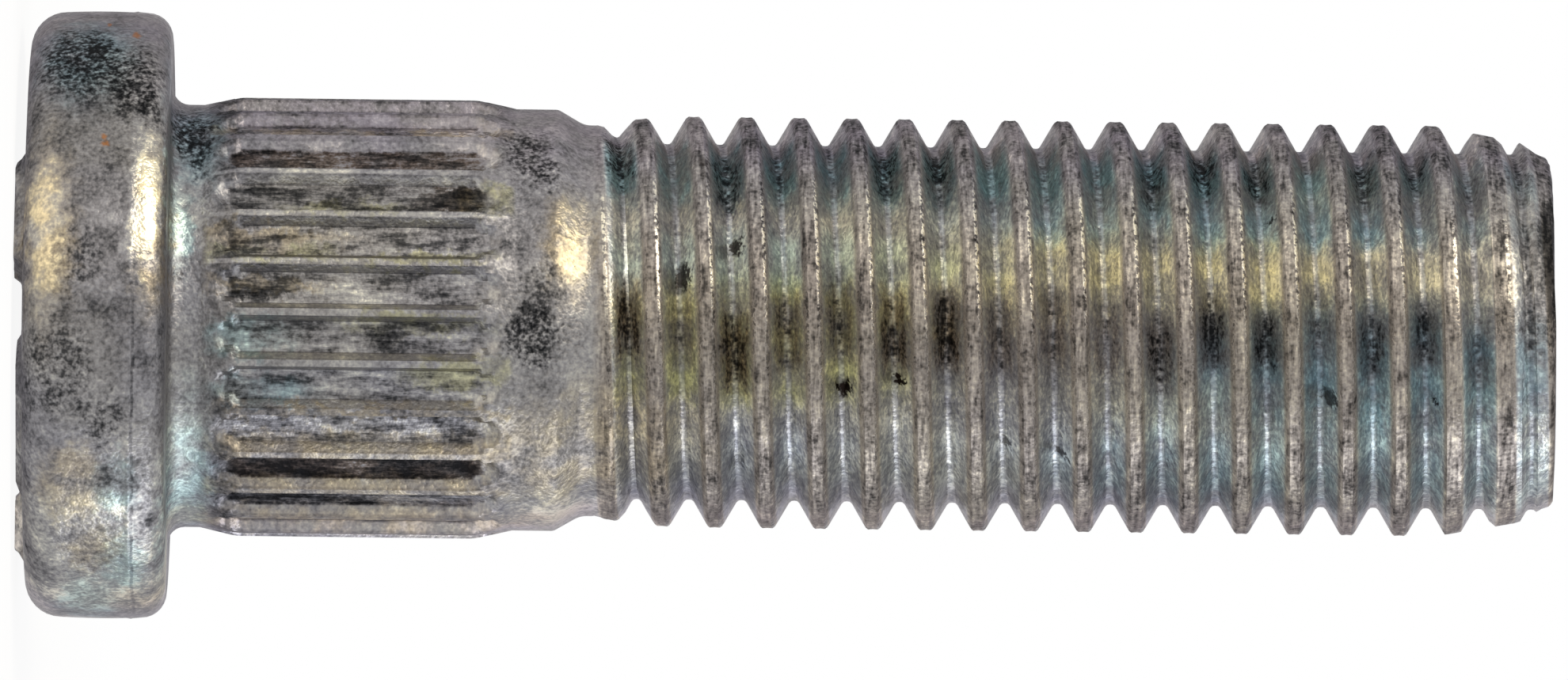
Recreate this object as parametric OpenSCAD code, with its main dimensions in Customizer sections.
// Press-in wheel stud, M12 x 1.5 right-hand. It is one steel piece: a blank is
// cold-headed, a band of its shank is rolled to a straight knurl, and the thread
// is rolled on the thinner end. The stud stands on the raised marks of its head,
// with its axis on Z and the threaded end up. All sizes are in millimetres.

/* [Head] */
// Largest diameter of the head
head_d = 17.3; // [16.6:0.1:24]
// Thickness of the head, from the seat down to the rim of its end face
head_t = 4.02; // [3:0.01:8]
// How far the end face bulges at its centre
head_dome = 0.15; // [0.05:0.05:0.25]
// Radius of the rounded edge at the end face
end_round = 1; // [0.4:0.05:1.4]
// Radius of the rounded edge at the seat
seat_round = 0.7; // [0.3:0.05:1]
// How far the rim bulges between its two rounded edges
rim_crown = 0.03; // [0.01:0.01:0.1]
// Width of the flat seat that bears on the back of the hub flange
seat_w = 0.9; // [0.3:0.05:1.2]
// How far the outer rim of the seat falls away from the flat
seat_fall = 0.02; // [0.01:0.01:0.2]

/* [Forged marks] */
// Height of the three marks that the stud stands on
mark_h = 0.3; // [0.2:0.05:0.5]
// Height of the two shallow marks between them
low_mark_h = 0.2; // [0.05:0.05:0.2]
// Length of a mark, along the edge of the head
mark_l = 2.9; // [1.5:0.1:4]
// Length of a shallow mark
low_mark_l = 3.8; // [1.5:0.1:4]
// Width of a mark, across the head
mark_w = 1.5; // [0.6:0.1:1.8]
// Radius of the circle that the marks lie on
mark_circle_r = 5.95; // [4:0.05:6]
// Angle from the first mark to each of the other two high ones
mark_angle = 116; // [110:1:125]
// Angle from the first mark to each shallow one
low_mark_angle = 62; // [58:1:66]

/* [Neck] */
// Diameter of the plain neck under the head
neck_d = 12.02; // [11.9:0.01:12.1]
// Length of the neck, from the seat to the first rise of the knurl
neck_l = 0.91; // [0.7:0.01:2]
// Radius of the fillet between seat and neck
neck_fillet = 0.48; // [0.2:0.02:0.6]

/* [Knurl] */
// Diameter over the tooth crests
knurl_d = 12.5; // [12.4:0.01:13]
// Number of teeth
knurl_teeth = 27; // [20:1:30]
// Depth of the valleys below the crests
knurl_depth = 0.34; // [0.3:0.01:0.5]
// Width of a tooth crest
tooth_crest_w = 0.2; // [0.1:0.01:0.3]
// Angle of a tooth wall from the radius through its crest
tooth_wall_angle = 28; // [15:1:36]
// Length of the knurl along the stud, from its first rise to the collar
knurl_l = 8.88; // [6:0.01:16]
// Length over which the crests rise at the head end
knurl_rise_l = 1.03; // [0.8:0.01:1.2]
// Length over which the crests fall at the collar
knurl_fall_l = 1.1; // [0.8:0.01:1.3]
// Length of plain ramp before each end of the valleys
valley_gap = 0.4; // [0.3:0.01:0.5]
// Length of the concave run-out at each end of a valley
valley_runout_l = 0.42; // [0.2:0.01:0.6]
// How far the floor of a valley bows in towards the middle of its length
valley_bow = 0.02; // [0.01:0.01:0.05]
// Angle of the first tooth crest from +X
knurl_clock = 2; // [0:0.5:13]

/* [Collar] */
// Diameter of the plain collar that centres the brake disc
collar_d = 12; // [11.9:0.01:12.1]
// Length of the collar
collar_l = 1.18; // [0.6:0.01:4]
// Radius of the soft edge where the collar meets the taper
collar_edge = 0.3; // [0.1:0.05:0.5]
// Angle of the taper from the collar down to the thread blank, from the axis
taper_angle = 30; // [20:1:45]
// Radius of the concave blend at the foot of the taper
taper_blend = 0.7; // [0.2:0.05:0.9]

/* [Thread] */
// Largest diameter of the rolled thread
thread_d = 11.7; // [11.5:0.01:11.96]
// Pitch
pitch = 1.5; // [1.25:0.25:1.75]
// Depth of the thread from crest to root, as a share of the pitch
depth_share = 0.53; // [0.48:0.01:0.58]
// Half of the angle between the thread's flanks
flank_angle = 30; // [27:0.5:30]
// Width of the flat on the thread's crest, as a share of the pitch
crest_share = 0.24; // [0.18:0.01:0.28]
// Diameter of the plain blank between the taper and the thread
blank_d = 11.13; // [11:0.01:11.3]
// Length of the plain blank
blank_l = 0.13; // [0.1:0.01:2]
// Length of the thread, from the blank to the end of the tip
thread_l = 27.31; // [18:0.01:45]
// Length over which the first root sinks to its full depth
root_fade_l = 1.4; // [0.8:0.1:3]
// Length over which the first crest rises to its full height
crest_fade_l = 2.8; // [1:0.1:5]
// Angle round from +X at which the crest leaves the blank
thread_clock = 233; // [0:1:359]
// Flat sides that stand for one turn of the thread
turn_sides = 48; // [36:4:56]

/* [Tip] */
// Radius of the end face inside the rounded edge
tip_face_r = 4.7; // [4:0.05:4.8]
// Radius of the lead-in where it meets the rounded edge
tip_edge_r = 5.03; // [4.9:0.01:5.05]
// Length of the rounded edge of the tip
tip_edge_l = 0.34; // [0.1:0.02:0.4]
// Length of the steep part of the lead-in
lead_steep_l = 0.58; // [0.4:0.02:1]
// Angle of the steep part, from the axis
lead_steep_angle = 34; // [25:1:40]
// Angle of the slow part, from the axis
lead_slow_angle = 10; // [6:1:15]
// How far the sheared end face leans, in degrees
tip_lean = 2.3; // [0:0.1:3]
// Angle round from +X of the side where the leaning end face stands highest
tip_lean_clock = 58; // [0:1:359]
// Depth of the shallow cup that rolling leaves in the end face
tip_cup = 0.15; // [0.05:0.05:0.4]

/* [Hidden] */
$fn = 96;
steel = "#8d8f8c";

head_r = head_d / 2;
rim_r = head_r - rim_crown;
neck_r = neck_d / 2;
knurl_r = knurl_d / 2;
valley_r = knurl_r - knurl_depth;
collar_r = collar_d / 2;
blank_r = blank_d / 2;
crest_r = thread_d / 2;
thread_depth = pitch * depth_share;
thread_crest_w = pitch * crest_share;
root_r = crest_r - thread_depth;

end_z = mark_h;
seat_z = end_z + head_t;
knurl_z = seat_z + neck_l;
collar_z = knurl_z + knurl_l;
taper_z = collar_z + collar_l;
taper_l = (collar_r - blank_r) / tan(taper_angle) + taper_blend * tan(taper_angle / 2);
blank_z = taper_z + taper_l;
thread_z = blank_z + blank_l;
tip_z = thread_z + thread_l;

seat_flat_r = neck_r + neck_fillet + seat_w;
// The valleys end in lips that stand this far above the neck and the collar
valley_lip_h = 0.045;
// Points on each rounded edge of the turned outline
round_steps = 6;

// Points of an arc about a centre, from one angle to another
function arc(centre, radius, from, to, steps = round_steps) =
    [for (i = [0 : steps])
        let (a = from + (to - from) * i / steps)
        centre + radius * [cos(a), sin(a)]];

// Points of a shallow arc that bulges away from its chord, by its rise
function bulge(start, end, rise, steps = 4) =
    let (chord = end - start, half = norm(chord) / 2,
         across = [chord.y, -chord.x] / norm(chord))
    [for (i = [0 : steps])
        let (t = 2 * i / steps - 1)
        (start + end) / 2 + chord / 2 * t + across * rise * (1 - t * t)];

// Concave run-out of a valley, with its foot on the valley's floor
function valley_end(foot_z, lip_z, lip_r) =
    [for (i = [0 : round_steps])
        let (t = i / round_steps)
        [valley_r + (lip_r - valley_r) * t * t, foot_z + (lip_z - foot_z) * t]];

// Outline of the head, from the middle of its end face to its seat
function head_outline() =
    let (dome_r = rim_r - end_round,
         end_corner = [rim_r - end_round, end_z + end_round],
         seat_corner = [rim_r - seat_round, seat_z - seat_fall - seat_round])
    concat(
        [for (i = [0 : 4]) let (t = i / 4) [dome_r * t, end_z - head_dome * (1 - t * t)]],
        [for (p = arc(end_corner, end_round, -90, 0)) if (p.x > dome_r) p],
        bulge([rim_r, end_corner.y], [rim_r, seat_corner.y], rim_crown),
        arc(seat_corner, seat_round, 0, 90),
        [[seat_flat_r, seat_z]]
    );

// Outline of the neck, the floor of the knurl and the collar, up to the thread
function shank_outline() =
    let (first_lip_z = knurl_z + valley_gap,
         last_lip_z = collar_z - valley_gap,
         edge = [collar_r - collar_edge, taper_z - collar_edge * tan(taper_angle / 2)],
         blend = [blank_r + taper_blend, blank_z])
    concat(
        arc([neck_r + neck_fillet, seat_z + neck_fillet], neck_fillet, -90, -180),
        [[neck_r, knurl_z + 0.08]],
        [[neck_r + valley_lip_h, first_lip_z]],
        [for (i = [round_steps : -1 : 0])
            let (p = valley_end(first_lip_z + valley_runout_l, first_lip_z + 0.06,
                                neck_r + valley_lip_h)) p[i]],
        bulge([valley_r, first_lip_z + valley_runout_l],
              [valley_r, last_lip_z - valley_runout_l], -valley_bow),
        valley_end(last_lip_z - valley_runout_l, last_lip_z - 0.06, collar_r + valley_lip_h),
        [[collar_r + valley_lip_h, last_lip_z]],
        [[collar_r, collar_z - 0.08]],
        arc(edge, collar_edge, 0, taper_angle, 3),
        arc(blend, taper_blend, 180 + taper_angle, 180, 4),
        [[blank_r, thread_z], [blank_r - 0.3, thread_z + 0.4], [0, thread_z + 0.4]]
    );

// Head, neck and collar, turned about the axis in one outline
module blank_body() {
    color(steel)
        rotate_extrude()
            polygon(concat(head_outline(), shank_outline()));
}

// One raised mark of the head, let into the face so that no gap is left
module mark(length, height, angle) {
    sunk = 0.6;
    color(steel)
        rotate([0, 0, angle])
            translate([mark_circle_r - mark_w / 2, -length / 2, end_z - height])
                cube([mark_w, length, height + sunk]);
}

// The plain raised marks on the end of the head
module forged_marks() {
    for (angle = [0, mark_angle, -mark_angle]) mark(mark_l, mark_h, angle);
    for (angle = [low_mark_angle, -low_mark_angle]) mark(low_mark_l, low_mark_h, angle);
}

// Section of the knurl: wedge teeth that the turned envelope then crops
module knurl_section() {
    inner_r = valley_r - 0.1;
    wall_slope = tan(tooth_wall_angle);
    apex_r = knurl_r + tooth_crest_w / 2 / wall_slope;
    foot = (apex_r - inner_r) * wall_slope;
    step = 360 / knurl_teeth;
    function turned(p, a) = [p.x * cos(a) - p.y * sin(a), p.x * sin(a) + p.y * cos(a)];
    polygon([for (i = [0 : knurl_teeth - 1], p = [[inner_r, -foot], [apex_r, 0], [inner_r, foot]])
        turned(p, knurl_clock + i * step)]);
}

// The rolled teeth, with their crests running up from the neck and down to the collar
module knurl() {
    rise_slope = (knurl_r - neck_r) / knurl_rise_l;
    fall_slope = (knurl_r - collar_r) / knurl_fall_l;
    inside = 0.6;
    color(steel)
        intersection() {
            translate([0, 0, knurl_z - inside])
                linear_extrude(knurl_l + 2 * inside) knurl_section();
            rotate_extrude()
                polygon([
                    [0, knurl_z - inside / 2],
                    [neck_r - rise_slope * inside / 2, knurl_z - inside / 2],
                    [knurl_r - 0.02, knurl_z + knurl_rise_l - 0.02 / rise_slope],
                    [knurl_r, knurl_z + knurl_rise_l + 0.2],
                    [knurl_r, collar_z - knurl_fall_l - 0.2],
                    [knurl_r - 0.02, collar_z - knurl_fall_l + 0.02 / fall_slope],
                    [collar_r - fall_slope * inside / 2, collar_z + inside / 2],
                    [0, collar_z + inside / 2]
                ]);
        }
}

flank_w = thread_depth * tan(flank_angle);
// Heights of the four corners of one thread, up from the middle of its crest
corner_rise = [-thread_crest_w / 2, thread_crest_w / 2,
               thread_crest_w / 2 + flank_w, pitch - thread_crest_w / 2 - flank_w];
corners = len(corner_rise);
// The thread's core starts this far down inside the blank
core_sunk = 0.25;
core_r = blank_r - 0.03;
rows = corners * (ceil((thread_l + core_sunk) / pitch) + 5);

// Height of a corner of the thread, before its ends are cut
function corner_z(column, row) =
    thread_z + pitch * (floor(row / corners) - 2 - thread_clock / 360 + column / turn_sides)
    + corner_rise[row % corners];

// Height of the leaning end face over a point of the tip
function face_z(column) =
    tip_z + tip_face_r * cos(360 * column / turn_sides - tip_lean_clock) * tan(tip_lean);

// Share of its full depth or height that a root or crest has, this far past the blank
function grown(past, fade_l) = 1 - pow(1 - min(1, max(0, past / fade_l)), 2);

// Radius of the lead-in at a distance below the end face
function lead_in_r(below) =
    below < tip_edge_l
        ? tip_face_r + (tip_edge_r - tip_face_r) * sqrt(max(0, 1 - pow(1 - below / tip_edge_l, 2)))
        : min(tip_edge_r + min(below - tip_edge_l, lead_steep_l) * tan(lead_steep_angle)
              + max(0, below - tip_edge_l - lead_steep_l) * tan(lead_slow_angle), crest_r + 1);

// Radius and height of a corner as rolled, before the lead-in crops it
function rolled(column, row) =
    let (z = corner_z(column, row),
         is_crest = row % corners < 2,
         fade_l = is_crest ? crest_fade_l : root_fade_l,
         full = is_crest ? crest_r : root_r)
    [core_r + (full - core_r) * grown(z - thread_z, fade_l), z];

// Where the flank from a corner inside the lead-in to one outside it meets the lead-in
function cropped(inside, outside, high, halvings = 12) =
    let (middle = (inside + outside) / 2)
    halvings == 0 ? middle
    : middle.x > lead_in_r(high - middle.y) ? cropped(inside, middle, high, halvings - 1)
    : cropped(middle, outside, high, halvings - 1);

// Radius and height of a corner, held between the core's foot and the end face. The
// corners of a crest slide down their flanks to the lead-in, so the crest stays true.
function corner_point(column, row) =
    let (low = thread_z - core_sunk,
         high = face_z(column),
         here = rolled(column, row),
         root = rolled(column, row % corners == 1 ? row + 1 : max(row - 1, 0)),
         slides = row % corners < 2 && here.y < high && root.y < high
                  && here.x > lead_in_r(high - here.y) && root.x < lead_in_r(high - root.y))
    here.y <= low ? [core_r, low]
    : slides ? cropped(root, here, high)
    : here.y >= high ? [tip_face_r, high]
    : [min(here.x, lead_in_r(high - here.y)), here.y];

// One corner of the thread as a point in space
function thread_point(column, row) =
    let (p = corner_point(column, row), a = 360 * column / turn_sides)
    [p.x * cos(a), p.x * sin(a), p.y];

function is_low(column, row) = corner_z(column, row) <= thread_z - core_sunk;
function is_high(column, row) = corner_z(column, row) >= face_z(column);

// The rolled thread: a grid of corners along the helix. Corners past either end
// fall together there, and the triangles between them are left out.
module thread() {
    last = turn_sides - 1;
    foot = turn_sides * rows;
    top = foot + 1;
    function number(column, row) = row * turn_sides + column;
    function next_column(column) = column == last ? 0 : column + 1;
    function next_row(column, row) = column == last ? row + corners : row;
    grid = [for (row = [0 : rows - 1], column = [0 : last]) thread_point(column, row)];
    ends = [[0, 0, thread_z - core_sunk], [0, 0, tip_z - tip_cup]];
    walls = [for (row = [0 : rows - 2 - corners], column = [0 : last])
        let (c = next_column(column), r = next_row(column, row),
             a = [column, row], b = [c, r], d = [c, r + 1], e = [column, row + 1],
             lows = [for (p = [a, b, d, e]) is_low(p[0], p[1])],
             highs = [for (p = [a, b, d, e]) is_high(p[0], p[1])],
             left = (lows[0] && lows[3]) || (highs[0] && highs[3]),
             right = (lows[1] && lows[2]) || (highs[1] && highs[2]),
             na = number(a[0], a[1]), nb = number(b[0], b[1]),
             nd = number(d[0], d[1]), ne = number(e[0], e[1]))
        if (!(left && right))
            each left ? [[na, nd, nb]] : right ? [[na, ne, nb]] : [[na, nd, nb], [na, ne, nd]]];
    foot_fan = [for (column = [0 : last])
        [foot, number(column, 0), number(next_column(column), 0)]];
    top_row = rows - 1 - corners;
    top_fan = [for (column = [0 : last])
        [top, number(next_column(column), top_row), number(column, top_row)]];
    color(steel)
        polyhedron(concat(grid, ends), concat(walls, foot_fan, top_fan), convexity = 20);
}

// The whole stud
module wheel_stud() {
    union() {
        blank_body();
        forged_marks();
        knurl();
        thread();
    }
}

wheel_stud();
